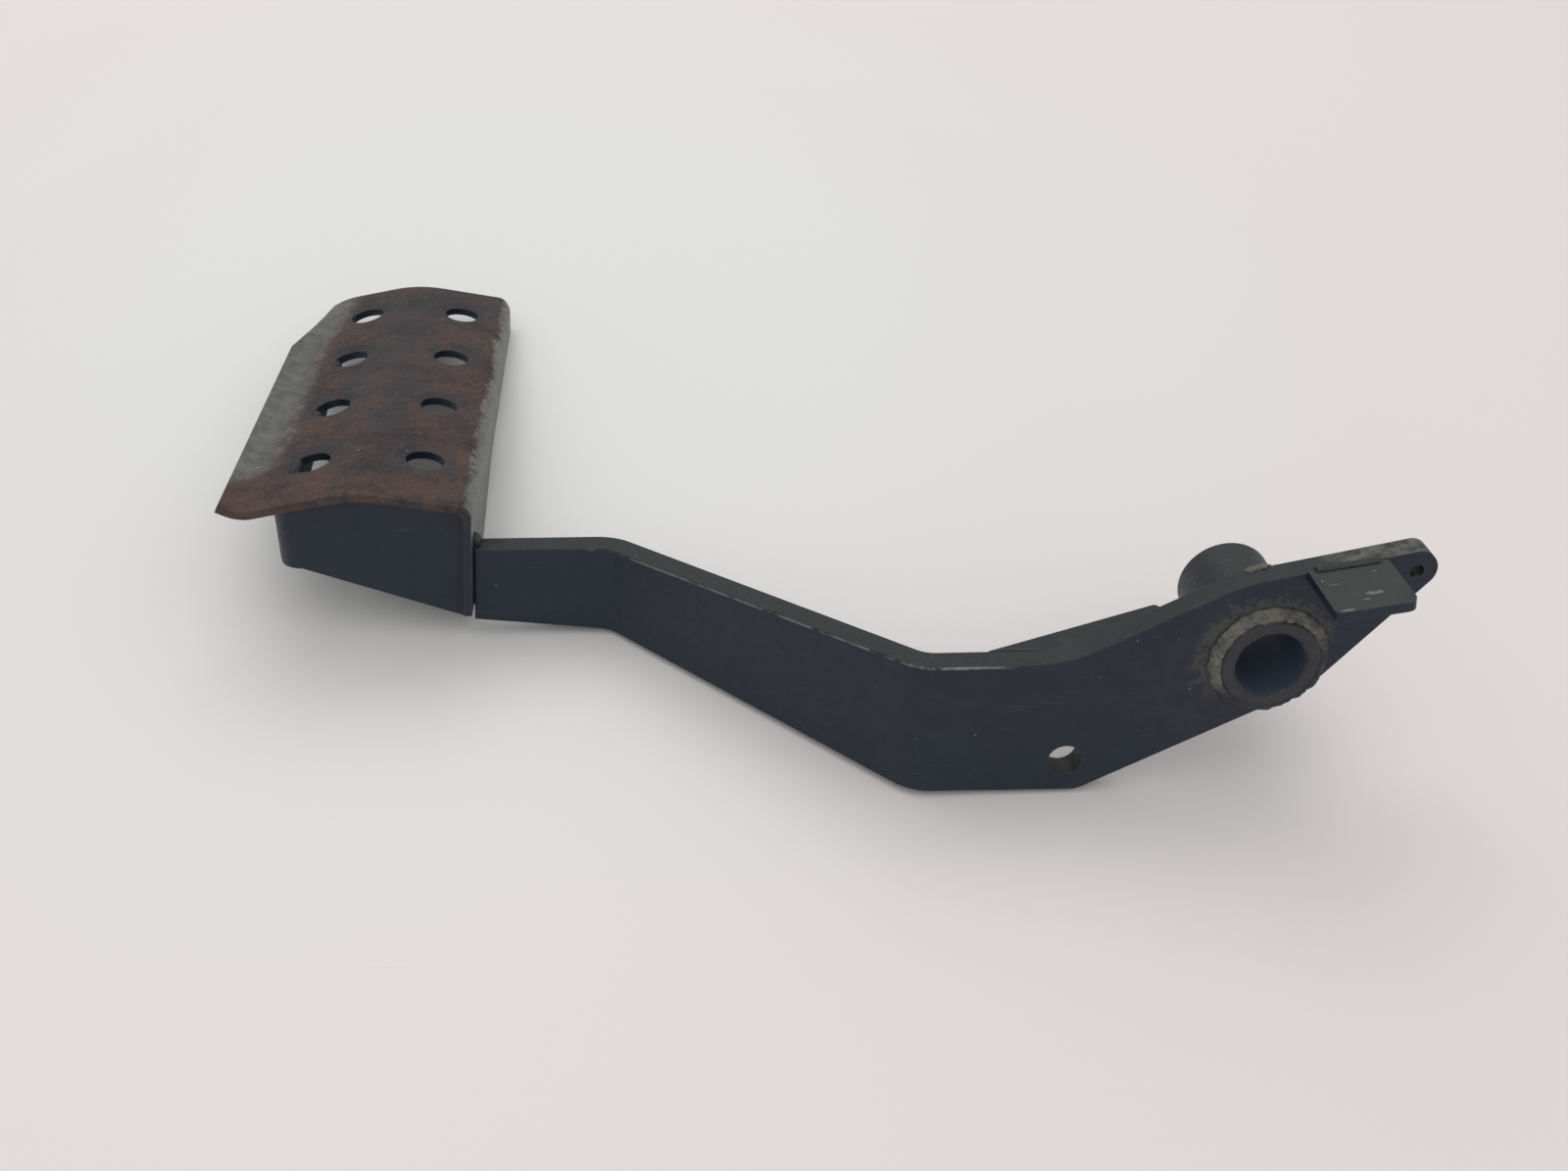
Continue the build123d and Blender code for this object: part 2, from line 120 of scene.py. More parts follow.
class Recipe:
    """A node material under construction. Places are object coordinates in millimetres."""

    def __init__(self, name):
        self.material = bpy.data.materials.new(name)
        self.material.use_nodes = True
        self.tree = self.material.node_tree
        self.shader = self.tree.nodes["Principled BSDF"]
        coordinates = self.tree.nodes.new("ShaderNodeTexCoord")
        scale = self.tree.nodes.new("ShaderNodeVectorMath")
        scale.operation = "SCALE"
        scale.inputs["Scale"].default_value = 1 / MM
        self.tree.links.new(coordinates.outputs["Object"], scale.inputs[0])
        self.place = scale.outputs[0]
        geometry = self.tree.nodes.new("ShaderNodeNewGeometry")
        self.normal = geometry.outputs["Normal"]
        self.x, self.y, self.z = self.split(self.place)
        self.facing_up = self.split(self.normal)[2]
        self.facing_front = self.math("MULTIPLY", self.split(self.normal)[1], -1.0)

    def put(self, socket, value):
        if isinstance(value, bpy.types.NodeSocket):
            self.tree.links.new(value, socket)
        else:
            socket.default_value = value

    def split(self, vector):
        node = self.tree.nodes.new("ShaderNodeSeparateXYZ")
        self.put(node.inputs[0], vector)
        return tuple(node.outputs)

    def math(self, operation, first, second=0.0, clamp=False):
        node = self.tree.nodes.new("ShaderNodeMath")
        node.operation = operation
        node.use_clamp = clamp
        self.put(node.inputs[0], first)
        self.put(node.inputs[1], second)
        return node.outputs[0]

    def both(self, first, second):
        return self.math("MULTIPLY", first, second)

    def either(self, first, second):
        return self.math("MAXIMUM", first, second)

    def opposite(self, value):
        return self.math("SUBTRACT", 1.0, value)

    def step(self, value, start, end, low=0.0, high=1.0):
        """Smooth change from low to high as the value goes from start to end."""
        node = self.tree.nodes.new("ShaderNodeMapRange")
        node.interpolation_type = "SMOOTHSTEP"
        self.put(node.inputs["Value"], value)
        node.inputs["From Min"].default_value = start
        node.inputs["From Max"].default_value = end
        node.inputs["To Min"].default_value = low
        node.inputs["To Max"].default_value = high
        return node.outputs["Result"]

    def near(self, value, middle, half_width, softness):
        """1 around a middle value, 0 further away than the half width."""
        distance = self.math("ABSOLUTE", self.math("SUBTRACT", value, middle))
        return self.step(distance, half_width, half_width + softness, 1.0, 0.0)

    def stretched(self, factors, shift=(0.0, 0.0, 0.0)):
        node = self.tree.nodes.new("ShaderNodeMapping")
        self.put(node.inputs["Vector"], self.place)
        node.inputs["Scale"].default_value = factors
        node.inputs["Location"].default_value = shift
        return node.outputs[0]

    def edges(self, reach):
        """1 on sharp edges, fading out within a reach in millimetres."""
        rounded = self.tree.nodes.new("ShaderNodeBevel")
        rounded.samples = 4
        rounded.inputs["Radius"].default_value = reach * MM
        likeness = self.tree.nodes.new("ShaderNodeVectorMath")
        likeness.operation = "DOT_PRODUCT"
        self.put(likeness.inputs[0], rounded.outputs[0])
        self.put(likeness.inputs[1], self.normal)
        return self.step(likeness.outputs["Value"], 0.995, 0.90)

    def cloud(self, grain, detail=4.0, roughness=0.6, place=None, shift=0.0, distortion=0.0):
        """Noise whose patches are about the given number of millimetres wide."""
        node = self.tree.nodes.new("ShaderNodeTexNoise")
        self.put(node.inputs["Vector"], place or self.stretched((1, 1, 1), (shift, shift, shift)))
        node.inputs["Scale"].default_value = 1 / grain
        node.inputs["Detail"].default_value = detail
        node.inputs["Roughness"].default_value = roughness
        node.inputs["Distortion"].default_value = distortion
        return node.outputs["Fac"]

    def specks(self, spacing, size, shift=0.0):
        """Small separate round specks, at most one in each cell of the given spacing."""
        node = self.tree.nodes.new("ShaderNodeTexVoronoi")
        self.put(node.inputs["Vector"], self.stretched((1, 1, 1), (shift, shift, shift)))
        node.inputs["Scale"].default_value = 1 / spacing
        close = self.step(node.outputs["Distance"], size * 0.5, size, 1.0, 0.0)
        chosen = self.step(self.split(node.outputs["Color"])[0], 0.55, 0.6)
        return self.both(close, chosen)

    def scratches(self, length, angle, threshold, shift=0.0):
        """Thin lines on faces that look along Y, drawn out along a direction in X and Z."""
        turn = self.tree.nodes.new("ShaderNodeMapping")
        self.put(turn.inputs["Vector"], self.place)
        turn.inputs["Rotation"].default_value = (0, math.radians(angle), 0)
        turn.inputs["Scale"].default_value = (1 / length, 0.15, 2.2)
        turn.inputs["Location"].default_value = (shift, shift, shift)
        lines = self.cloud(1.0, detail=2.0, roughness=0.5, place=turn.outputs[0])
        return self.step(lines, threshold, threshold + 0.05)

    def spot(self, centre, radii, ragged=0.35, grain=0.8):
        """A spot round a place in millimetres, with a ragged edge, for wear, dirt and painted shade alike.
        A radius of 0 spans all.
        """
        total = None
        for axis, value, radius in zip((self.x, self.y, self.z), centre, radii):
            if not radius:
                continue
            part = self.math("DIVIDE", self.math("SUBTRACT", axis, value), radius)
            part = self.both(part, part)
            total = part if total is None else self.math("ADD", total, part)
        rough = self.both(self.math("SUBTRACT", self.cloud(grain, 3.0), 0.5), ragged * 6)
        return self.step(self.math("ADD", total, rough), 0.7, 1.2, 1.0, 0.0)

    def mix(self, amount, under, over):
        node = self.tree.nodes.new("ShaderNodeMix")
        node.data_type = "RGBA"
        self.put(node.inputs["Factor"], amount)
        self.put(node.inputs[6], under)
        self.put(node.inputs[7], over)
        return node.outputs[2]

    def finish(self, color, roughness, height, bump_depth, strength=1.0):
        """Wire up the shader. Height is in units of the bump depth, given in millimetres."""
        self.put(self.shader.inputs["Base Color"], color)
        self.shader.inputs["Specular IOR Level"].default_value = SHEEN_LEVEL
        self.put(self.shader.inputs["Roughness"], roughness)
        bump = self.tree.nodes.new("ShaderNodeBump")
        bump.inputs["Strength"].default_value = strength
        bump.inputs["Distance"].default_value = bump_depth * MM
        self.put(bump.inputs["Height"], height)
        self.put(self.shader.inputs["Normal"], bump.outputs[0])
        return self.material


def grey(level, warm=0.0):
    """An opaque colour, a little towards yellow for a positive warmth and blue for a negative one."""
    return (level * (1 + warm), level, level * (1 - warm), 1)


PAINT = (0.0085, 0.0150, 0.0290, 1)
PAINT_LIGHT = (0.0115, 0.0185, 0.0320, 1)
PAINT_TOP_DUST_AND_SHADE = (0.0075, 0.0110, 0.0130, 1)         # a film of dust, and painted shade: duller and less blue than the side faces
PAINT_WORN = (0.026, 0.030, 0.031, 1)
DUST = (0.120, 0.122, 0.110, 1)
DIRT = (0.036, 0.031, 0.027, 1)
BARE = (0.34, 0.34, 0.335, 1)
BEIGE = (0.255, 0.235, 0.190, 1)
RUST_DARK = (0.036, 0.0280, 0.0300, 1)
RUST = (0.074, 0.047, 0.040, 1)
RUST_ORANGE = (0.150, 0.066, 0.036, 1)
GREEN_GREY = (0.070, 0.078, 0.073, 1)
# painted shade along the weld bead's edge on the arm's upper edge
WELD_EDGE_SHADE = (0.004, 0.005, 0.007, 1)
# painted shade in the gap where the arm meets the flange
GAP_SHADE_DARK = (0.006, 0.007, 0.009, 1)
RIM_BROWN = (0.040, 0.036, 0.033, 1)
BORE_BLUE = (0.060, 0.084, 0.130, 1)
TAB_WORN = (0.038, 0.041, 0.040, 1)
TAB_STAIN = (0.036, 0.032, 0.031, 1)
RUST_PIT = (0.024, 0.020, 0.022, 1)
RUST_RUDDY = (0.105, 0.055, 0.040, 1)
RUST_CHIP = (0.36, 0.30, 0.24, 1)
PAINT_KEPT = (0.036, 0.040, 0.047, 1)            # paint remains between the rust
WING_DARK = (0.088, 0.092, 0.086, 1)
WING_LIGHT = (0.165, 0.158, 0.146, 1)
WING_SMUDGE = (0.032, 0.034, 0.036, 1)
WELD_YELLOW = (0.16, 0.15, 0.09, 1)
WELD_BROWN = (0.050, 0.040, 0.034, 1)
# the table's tint near the object and further out: a painted colour of the light
TABLE_MIDDLE = (0.765, 0.757, 0.728, 1)
TABLE_OUTER = (0.800, 0.735, 0.715, 1)
TABLE_CRUMB = (0.20, 0.17, 0.14, 1)


def painted_surface(recipe):
    """Satin black paint with mottling, dust and painted shade on what faces up, specks and worn edges."""
    mottle = recipe.cloud(9.0, 6.0, 0.62)
    color = recipe.mix(recipe.step(mottle, 0.35, 0.75), PAINT, PAINT_LIGHT)
    # upward faces take a duller, less blue paint: a dust film and painted shade
    color = recipe.mix(recipe.step(recipe.facing_up, 0.25, 0.75), color, PAINT_TOP_DUST_AND_SHADE)
    fine = recipe.cloud(0.7, 3.0, 0.7, shift=31.0)
    color = recipe.mix(recipe.both(recipe.step(fine, 0.55, 0.75), 0.22), color, PAINT_WORN)
    patchy = recipe.step(mottle, 0.2, 0.7, 0.45, 0.9)
    dusting = recipe.both(recipe.step(recipe.facing_up, 0.45, 0.95), patchy)
    color = recipe.mix(recipe.both(dusting, 0.13), color, DUST)
    edge = recipe.both(recipe.edges(0.5), recipe.step(recipe.cloud(4.0, 5.0, 0.7), 0.40, 0.62, 0.25, 1.0))
    color = recipe.mix(recipe.both(edge, 0.55), color, GREEN_GREY)
    specks = recipe.both(recipe.specks(7.0, 0.045), 0.35)
    color = recipe.mix(specks, color, BARE)
    roughness = recipe.step(fine, 0.3, 0.8, 0.36, 0.62)
    roughness = recipe.math("ADD", roughness, recipe.both(dusting, 0.12))
    height = recipe.math("ADD", recipe.both(recipe.cloud(1.6, 3.0), 0.5), recipe.both(fine, 0.5))
    return color, roughness, height


def arm_material():
    recipe = Recipe("arm_paint")
    color, roughness, height = painted_surface(recipe)
    front = recipe.step(recipe.facing_front, 0.6, 0.9)

    scuffs = recipe.either(recipe.scratches(14.0, 24.0, 0.69), recipe.scratches(9.0, -35.0, 0.71, 12.0))
    scuffs = recipe.either(scuffs, recipe.scratches(18.0, -8.0, 0.70, 40.0))
    color = recipe.mix(recipe.both(recipe.both(scuffs, front), 0.30), color, GREEN_GREY)

    around_pivot = recipe.both(recipe.spot((-6.0, 0, -5.0), (24.0, 0, 17.0), 0.5, 6.0), front)
    blotches = recipe.step(recipe.cloud(3.5, 6.0, 0.75, shift=7.0), 0.36, 0.72)
    color = recipe.mix(recipe.both(recipe.both(around_pivot, blotches), 0.42), color, DIRT)
    halo = recipe.both(recipe.spot((-0.6, 0, 0.6), (15.6, 0, 15.6), 0.30, 2.5), front)
    upper_left = recipe.step(recipe.math("ADD", recipe.z, recipe.both(recipe.x, -0.55)), -9.0, 5.0)
    color = recipe.mix(recipe.both(recipe.both(halo, upper_left), 0.18), color, BEIGE)
    color = recipe.mix(recipe.both(halo, 0.16), color, DIRT)

    chips = recipe.either(recipe.specks(4.5, 0.075, 3.0), recipe.specks(9.0, 0.06, 17.0))
    near_pivot = recipe.spot((-8.0, 0, 4.0), (34.0, 0, 22.0), 0.3, 8.0)
    chips = recipe.both(chips, near_pivot)
    color = recipe.mix(recipe.both(chips, 0.40), color, BARE)

    top_edge_z = ARM_TOP_Z / MM
    # a light line along the front of the upper edge, ending where the edge rounds off: painted highlight
    # and worn paint
    top_edge_highlight_and_wear = recipe.both(recipe.near(recipe.z, top_edge_z - 0.35, 0.28, 0.25), front)
    top_edge_highlight_and_wear = recipe.both(top_edge_highlight_and_wear, recipe.step(recipe.x, -160.0, -140.0))
    top_edge_highlight_and_wear = recipe.both(top_edge_highlight_and_wear, recipe.step(recipe.x, -68.0, -52.0, 1.0, 0.0))
    top_edge_highlight_and_wear = recipe.both(top_edge_highlight_and_wear, recipe.step(recipe.cloud(5.0, 4.0, 0.7, shift=3.0), 0.36, 0.58))
    color = recipe.mix(recipe.both(top_edge_highlight_and_wear, 0.75), color, grey(0.30, 0.02))

    tip = recipe.both(recipe.step(recipe.x, 6.0, 16.0), recipe.step(recipe.facing_up, 0.55, 0.9))
    tip_wear = recipe.step(recipe.cloud(3.2, 6.0, 0.7, shift=5.0), 0.36, 0.62)
    color = recipe.mix(recipe.both(recipe.both(tip, tip_wear), 0.42), color, BEIGE)

    # a dark curved line on the arm's upper edge: painted shade at the weld bead's edge, also pressed in as
    # a groove
    bow = recipe.math("ADD", recipe.x, WELD_EDGE_SHADE_MIDDLE_X * -1)
    bow = recipe.both(recipe.both(bow, bow), 0.13)
    weld_edge_shade = recipe.near(recipe.math("SUBTRACT", recipe.y, bow), WELD_EDGE_SHADE_Y, 0.24, 0.16)
    weld_edge_shade = recipe.both(weld_edge_shade, recipe.step(recipe.facing_up, 0.5, 0.9))
    weld_edge_shade = recipe.both(weld_edge_shade, recipe.step(recipe.x, WELD_EDGE_SHADE_MIDDLE_X + 4.5, WELD_EDGE_SHADE_MIDDLE_X + 2.0))
    color = recipe.mix(recipe.both(weld_edge_shade, 0.85), color, WELD_EDGE_SHADE)

    streak = recipe.spot((-7.0, 0, 21.0), (4.5, 3.6, 2.5), 0.45, 1.2)
    streak = recipe.both(streak, recipe.step(recipe.facing_up, 0.4, 0.8))
    color = recipe.mix(recipe.both(streak, 0.9), color, BEIGE)
    hollows = recipe.either(recipe.both(chips, 0.8), recipe.both(weld_edge_shade, 2.0))
    height = recipe.math("SUBTRACT", height, hollows)
    return recipe.finish(color, roughness, height, 0.05)


def bracket_material():
    recipe = Recipe("bracket_paint")
    color, roughness, height = painted_surface(recipe)
    scuffs = recipe.both(recipe.scratches(7.0, 60.0, 0.70, 4.0), 0.35)
    color = recipe.mix(scuffs, color, GREEN_GREY)
    return recipe.finish(color, roughness, height, 0.05)


def gusset_material():
    recipe = Recipe("gusset_paint")
    color, roughness, height = painted_surface(recipe)
    rub = recipe.both(recipe.step(recipe.cloud(6.0, 6.0, 0.7, shift=2.0), 0.5, 0.7), 0.4)
    color = recipe.mix(rub, color, GREEN_GREY)
    return recipe.finish(color, roughness, height, 0.05)


def tube_material():
    recipe = Recipe("tube_paint")
    color, roughness, height = painted_surface(recipe)
    x_squared = recipe.both(recipe.x, recipe.x)
    radius = recipe.math("SQRT", recipe.math("ADD", x_squared, recipe.both(recipe.z, recipe.z)))
    outside = recipe.step(radius, 8.4, 9.0)
    rubbed = recipe.both(outside, recipe.step(recipe.cloud(5.0, 5.0, 0.65, shift=9.0), 0.3, 0.7, 0.35, 0.8))
    color = recipe.mix(recipe.both(rubbed, 0.5), color, grey(0.050, 0.0))
    rim = recipe.both(recipe.step(recipe.facing_front, 0.5, 0.9), outside)
    color = recipe.mix(recipe.both(rim, 0.45), color, RIM_BROWN)
    inward = recipe.step(recipe.facing_front, 0.10, 0.35, 1.0, 0.0)
    bore = recipe.both(recipe.opposite(outside), inward)
    color = recipe.mix(recipe.both(bore, 0.85), color, BORE_BLUE)
    patchy = recipe.step(recipe.cloud(3.5, 4.0, 0.7, shift=21.0), 0.45, 0.62)
    worn = recipe.both(recipe.near(radius, 8.2, 0.2, 0.15), patchy)
    worn = recipe.both(worn, recipe.step(recipe.facing_front, 0.3, 0.6))
    color = recipe.mix(recipe.both(worn, 0.22), color, grey(0.28, 0.02))
    rings = recipe.cloud(1.0, 2.0, 0.5, place=recipe.stretched((0.12, 3.0, 0.12)))
    rings = recipe.both(bore, recipe.step(rings, 0.55, 0.7))
    color = recipe.mix(recipe.both(rings, 0.15), color, grey(0.07, -0.1))
    chips = recipe.both(recipe.specks(5.0, 0.085, 8.0), outside)
    color = recipe.mix(recipe.both(chips, 0.85), color, grey(0.5))
    return recipe.finish(color, roughness, height, 0.05)


TAB_CHIPS = (                            # from the tab's left front corner, then radii
    (7.6, 3.6, 0.8, 0.3),
    (3.4, 10.6, 1.3, 0.16),
    (1.5, 12.6, 0.35, 0.3),
    (2.6, 0.7, 1.6, 0.4),
    (12.8, 13.4, 0.6, 0.2),
)


def tab_material():
    """Thinly worn paint with a few bare chips on top."""
    recipe = Recipe("tab_paint")
    color, roughness, height = painted_surface(recipe)
    top = recipe.step(recipe.facing_up, 0.6, 0.9)
    wear = recipe.step(recipe.cloud(7.0, 6.0, 0.6, shift=13.0), 0.25, 0.6, 0.55, 1.0)
    color = recipe.mix(recipe.both(recipe.both(top, wear), 0.85), color, TAB_WORN)
    stain = recipe.both(top, recipe.step(recipe.cloud(4.0, 5.0, 0.7, shift=29.0), 0.52, 0.72))
    color = recipe.mix(recipe.both(stain, 0.5), color, TAB_STAIN)
    left = TAB_LOW.x / MM
    front = TAB_LOW.y / MM
    chips = recipe.spot((left + 10.0, front + 5.6, 0), (1.9, 0.75, 0), 0.25, 0.5)
    hollow = recipe.spot((left + 10.2, front + 6.7, 0), (1.6, 0.8, 0), 0.15, 0.5)
    chips = recipe.both(chips, recipe.opposite(hollow))
    for along, across, length, width in TAB_CHIPS:
        chip = recipe.spot((left + along, front + across, 0), (length, width, 0), 0.3, 0.5)
        chips = recipe.either(chips, chip)
    color = recipe.mix(recipe.both(recipe.both(chips, top), 0.30), color, grey(0.40, 0.03))
    height = recipe.math("SUBTRACT", height, chips)
    return recipe.finish(color, roughness, height, 0.08)


def rust_color(recipe, patches, grains):
    """Brown rust with darker pits, orange grains and ruddy patches."""
    rust = recipe.mix(recipe.step(patches, 0.36, 0.62), RUST_DARK, RUST)
    rust = recipe.mix(recipe.both(recipe.step(grains, 0.52, 0.70), 0.75), rust, RUST_ORANGE)
    rust = recipe.mix(recipe.both(recipe.step(grains, 0.50, 0.32), 0.85), rust, RUST_PIT)
    ruddy = recipe.step(recipe.cloud(15.0, 5.0, 0.7, shift=71.0), 0.50, 0.66)
    return recipe.mix(recipe.both(ruddy, 0.55), rust, RUST_RUDDY)


def paint_remains(recipe):
    """Grey remains of paint down the middle, round the holes and towards the rear."""
    middle = ((PAD_LEFT + PAD_RIGHT) / 2 + 3.0, (PAD_FRONT + PAD_REAR) / 2 + 4.0, 0)
    dark_middle = recipe.spot(middle, (11.0, 42.0, 0), 0.8, 9.0)
    around_holes = recipe.either(recipe.near(recipe.x, HOLE_ROWS_X[0], 6.5, 3.0),
                                 recipe.near(recipe.x, HOLE_ROWS_X[1], 6.5, 3.0))
    along_row = recipe.math("SUBTRACT", recipe.y, PAD_FRONT + FIRST_HOLE)
    pitches = recipe.math("ADD", recipe.math("DIVIDE", along_row, HOLE_PITCH), 0.5)
    from_hole = recipe.math("SUBTRACT", recipe.math("FRACT", pitches), 0.5)
    from_hole = recipe.math("ABSOLUTE", from_hole)
    around_holes = recipe.both(around_holes, recipe.step(from_hole, 0.16, 0.30, 1.0, 0.0))
    kept = recipe.either(recipe.both(dark_middle, 0.75), recipe.both(around_holes, 0.85))
    kept = recipe.either(kept, recipe.step(recipe.y, PAD_REAR - 50.0, PAD_REAR - 6.0, 0.0, 0.6))
    return recipe.both(kept, recipe.step(recipe.cloud(3.4, 7.0, 0.75, shift=37.0), 0.38, 0.60))


def worn_wing_color(recipe):
    """Pale, smudged paint of the wing and the flange."""
    patchy = recipe.step(recipe.cloud(5.0, 6.0, 0.7, shift=19.0), 0.35, 0.7)
    smudges = recipe.step(recipe.cloud(3.0, 6.0, 0.75, shift=23.0), 0.54, 0.68)
    worn = recipe.mix(patchy, WING_DARK, WING_LIGHT)
    return recipe.mix(recipe.both(smudges, 0.45), worn, WING_SMUDGE)


def tread_material():
    """Rusted, worn tread with painted remains on the wing, the flange and round the holes."""
    recipe = Recipe("rusted_tread")
    color, paint_roughness, height = painted_surface(recipe)
    patches = recipe.cloud(11.0, 7.0, 0.66, distortion=0.4)
    grains = recipe.cloud(1.7, 6.0, 0.72, shift=11.0)
    facing_up = recipe.step(recipe.facing_up, 0.2, 0.6)

    wobble = recipe.both(recipe.math("SUBTRACT", recipe.cloud(7.0, 4.0, 0.6, shift=51.0), 0.5), 6.0)
    across = recipe.math("ADD", recipe.x, wobble)
    lead = recipe.step(recipe.y, PAD_FRONT + 6.0, PAD_FRONT + 26.0, 12.0, 0.0)
    trail = recipe.step(recipe.y, PAD_REAR - 40.0, PAD_REAR - 8.0, 0.0, 3.0)
    from_wing = recipe.math("SUBTRACT", recipe.math("ADD", across, lead), trail)
    on_tread = recipe.both(recipe.step(from_wing, PAD_LEFT + 4.8, PAD_LEFT + 13.0),
                           recipe.step(across, PAD_RIGHT - 2.4, PAD_RIGHT - 0.4, 1.0, 0.0))
    on_tread = recipe.both(on_tread, facing_up)
    at_front = recipe.both(recipe.step(recipe.y, PAD_FRONT + 2.2, PAD_FRONT + 0.8),
                           recipe.step(recipe.z, 6.0, 10.0))
    rusty = recipe.either(on_tread, at_front)

    upper = recipe.step(recipe.z, PAD_LOW.z / MM, PAD_LOW.z / MM + 6.0, 0.75, 1.0)
    outside = recipe.either(recipe.step(recipe.facing_up, 0.2, 0.5),
                            recipe.step(recipe.x, PAD_RIGHT - 3.2, PAD_RIGHT - 2.6))
    outside = recipe.both(outside, recipe.step(recipe.facing_front, 0.8, 0.5))
    color = recipe.mix(recipe.both(outside, upper), color, worn_wing_color(recipe))

    rust = recipe.mix(paint_remains(recipe), rust_color(recipe, patches, grains), PAINT_KEPT)
    color = recipe.mix(rusty, color, rust)

    border = recipe.either(recipe.both(recipe.near(from_wing, PAD_LEFT + 9.2, 0.6, 1.4), 0.45),
                           recipe.near(across, PAD_RIGHT - 1.3, 0.45, 0.9))
    border = recipe.both(border, recipe.step(recipe.cloud(2.4, 5.0, 0.7, shift=61.0), 0.46, 0.60))
    border = recipe.both(border, facing_up)
    border = recipe.both(border, recipe.step(recipe.y, PAD_FRONT + 4.0, PAD_FRONT + 14.0))
    color = recipe.mix(recipe.both(border, 0.55), color, BEIGE)
    # a dark stripe on the flange where the arm meets it: painted shade of the gap between them
    gap_shade = recipe.spot((0, ARM_HIGH.y / MM - 0.6, 0.6), (0, 0.8, 4.2), 0.1)
    gap_shade = recipe.both(gap_shade, recipe.step(recipe.x, PAD_RIGHT - 3.0, PAD_RIGHT - 2.0))
    color = recipe.mix(recipe.both(gap_shade, 0.85), color, GAP_SHADE_DARK)
    chips = recipe.both(recipe.specks(6.0, 0.08, 5.0), facing_up)
    color = recipe.mix(recipe.both(chips, 0.55), color, RUST_CHIP)

    roughness = recipe.math("ADD", recipe.both(rusty, 0.28), paint_roughness, clamp=True)
    pitted = recipe.math("ADD", recipe.both(grains, 0.8), recipe.both(patches, 0.6))
    height = recipe.math("ADD", recipe.both(height, 0.25), recipe.both(rusty, pitted))
    return recipe.finish(color, roughness, height, 0.28)


def weld_material(name, dusty, seed):
    """A painted bead, with dried dust in a dusty place."""
    recipe = Recipe(name)
    color, roughness, height = painted_surface(recipe)
    spread = recipe.step(recipe.cloud(2.4, 6.0, 0.72, shift=seed), 0.34, 0.64, 0.35, 1.15)
    if dusty:
        place = recipe.step(recipe.math("ADD", recipe.z, recipe.both(recipe.x, -0.55)), -7.0, 5.0)
        amount = recipe.both(recipe.math("ADD", recipe.both(place, 0.49), 0.09), spread)
        color = recipe.mix(amount, color, BEIGE)
        yellow = recipe.step(recipe.cloud(2.2, 5.0, 0.7, shift=seed + 9), 0.52, 0.68)
        color = recipe.mix(recipe.both(recipe.both(yellow, place), 0.5), color, WELD_YELLOW)
        brown = recipe.step(recipe.cloud(2.8, 5.0, 0.7, shift=seed + 4), 0.56, 0.72)
        color = recipe.mix(recipe.both(brown, 0.55), color, WELD_BROWN)
        roughness = recipe.math("ADD", roughness, 0.25, clamp=True)
    else:
        color = recipe.mix(recipe.both(spread, 0.25), color, DIRT)
    grit = recipe.cloud(0.8, 5.0, 0.7, shift=seed + 2)
    return recipe.finish(color, roughness, recipe.math("ADD", height, grit), 0.16)


def table_material():
    """Pale table top with a painted tint of the light, pinker further from the object, long and short
    scuffs and a few crumbs.
    """
    recipe = Recipe("table")
    tone = recipe.cloud(420.0, 3.0, 0.5)
    squares = recipe.math("ADD", recipe.both(recipe.x, recipe.x), recipe.both(recipe.y, recipe.y))
    distance = recipe.math("ADD", recipe.math("SQRT", squares), recipe.both(tone, 160.0))
    # painted tint of the light: more neutral round the object, pinker further out
    color = recipe.mix(recipe.step(distance, 120.0, 420.0), TABLE_MIDDLE, TABLE_OUTER)
    long_way = recipe.stretched((0.010, 0.9, 1.0))
    short_way = recipe.stretched((0.55, 0.014, 1.0), (9, 4, 0))
    long_scuffs = recipe.cloud(1.0, 3.0, 0.6, place=long_way, distortion=1.2)
    short_scuffs = recipe.cloud(1.0, 3.0, 0.6, place=short_way, distortion=1.4)
    few = recipe.step(recipe.cloud(110.0, 3.0, 0.6, shift=15.0), 0.52, 0.66)
    scuffs = recipe.either(recipe.step(long_scuffs, 0.735, 0.765),
                           recipe.step(short_scuffs, 0.735, 0.765))
    color = recipe.mix(recipe.both(recipe.both(scuffs, few), 0.16), color, grey(0.40))
    crumbs = recipe.specks(75.0, 0.010, 6.0)
    color = recipe.mix(recipe.both(crumbs, 0.6), color, TABLE_CRUMB)
    return recipe.finish(color, 0.42, tone, 0.02, 0.2)


# --- weld beads -----------------------------------------------------------------------------------

def along_ring(point):
    """Distance round the pivot tube."""
    return math.atan2(point.z, point.x) * TUBE_RADIUS


def along_axis(axis):
    return lambda point: point[axis]


def add_mesh_piece(name, mesh, material):
    piece = bpy.data.objects.new(name, mesh)
    bpy.context.collection.objects.link(piece)
    mesh.materials.clear()
    mesh.materials.append(material)
    for polygon in mesh.polygons:
        polygon.use_smooth = True
    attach(piece, "root")
    return piece


def remeshed(node_name, voxel):
    """The node's solids as one evenly divided mesh, smoothed a little."""
    scratch = bpy.data.objects.new("scratch", nodes[node_name].data.copy())
    bpy.context.collection.objects.link(scratch)
    weld = scratch.modifiers.new("weld", "WELD")
    weld.merge_threshold = 0.001 * MM
    remesh = scratch.modifiers.new("remesh", "REMESH")
    remesh.mode = "VOXEL"
    remesh.voxel_size = voxel
    smooth = scratch.modifiers.new("smooth", "SMOOTH")
    smooth.iterations = 3
    smooth.factor = 0.5
    bpy.context.view_layer.update()
    evaluated = scratch.evaluated_get(bpy.context.evaluated_depsgraph_get())
    mesh = bpy.data.meshes.new_from_object(evaluated)
    bpy.data.objects.remove(scratch)
    return mesh


